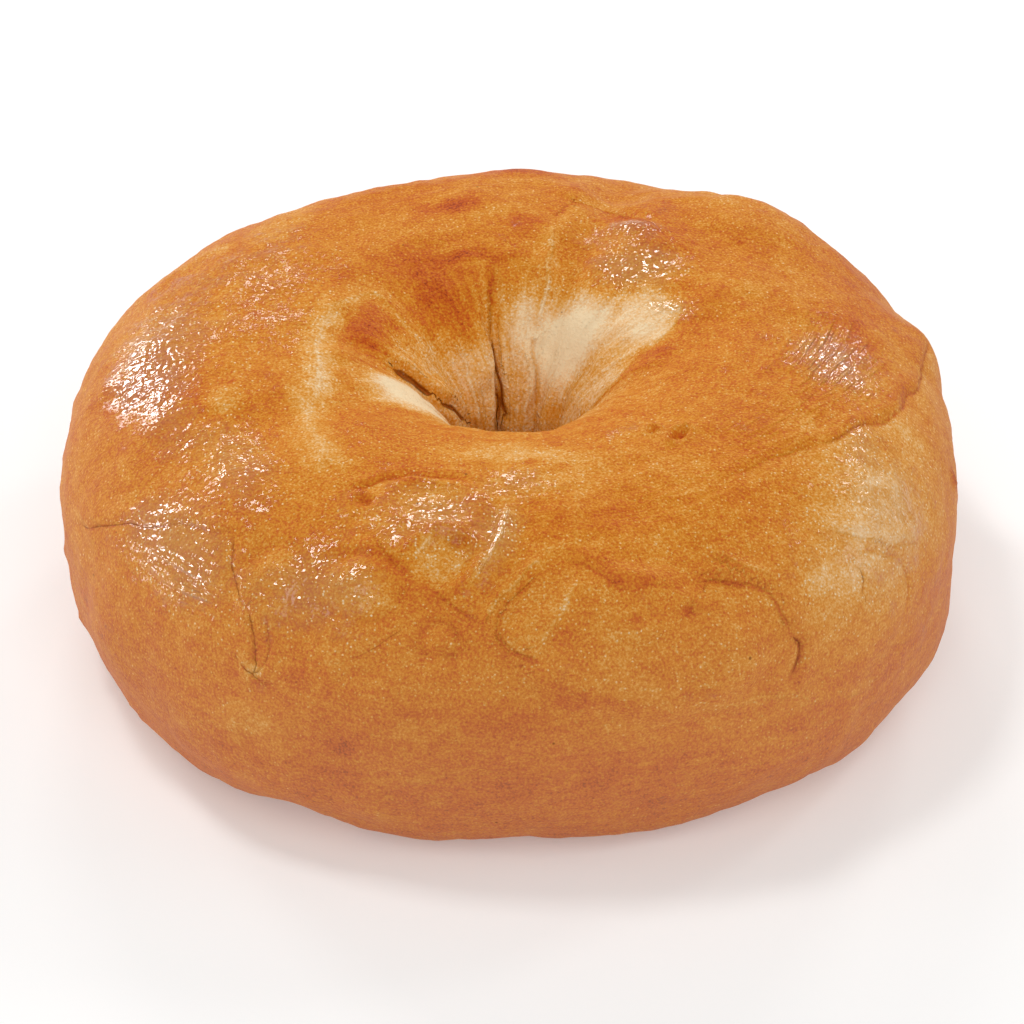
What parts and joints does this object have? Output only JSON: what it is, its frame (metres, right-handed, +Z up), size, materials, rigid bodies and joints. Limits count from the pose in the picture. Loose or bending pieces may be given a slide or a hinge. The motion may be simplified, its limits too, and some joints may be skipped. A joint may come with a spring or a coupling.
{
  "type": "bagel",
  "caption": "Plain boiled bagel: a thick uneven ring of baked bread with a glossy browned crust, a flat base and a hole pinched to a funnel.",
  "frame": {"origin": "middle of the bounding box's underside, on the surface that the flat base rests on", "axes": "+Z up through the hole; +X to the right and +Y away when the bagel's front faces the reader"},
  "size_m": [0.1088, 0.1076, 0.0396],
  "materials": {
    "crust": "boiled and baked bread crust, golden brown with a thin uneven gloss, paler in the hole"
  },
  "bodies": {
    "root": {"bagel": "crust"}
  },
  "joints": []
}
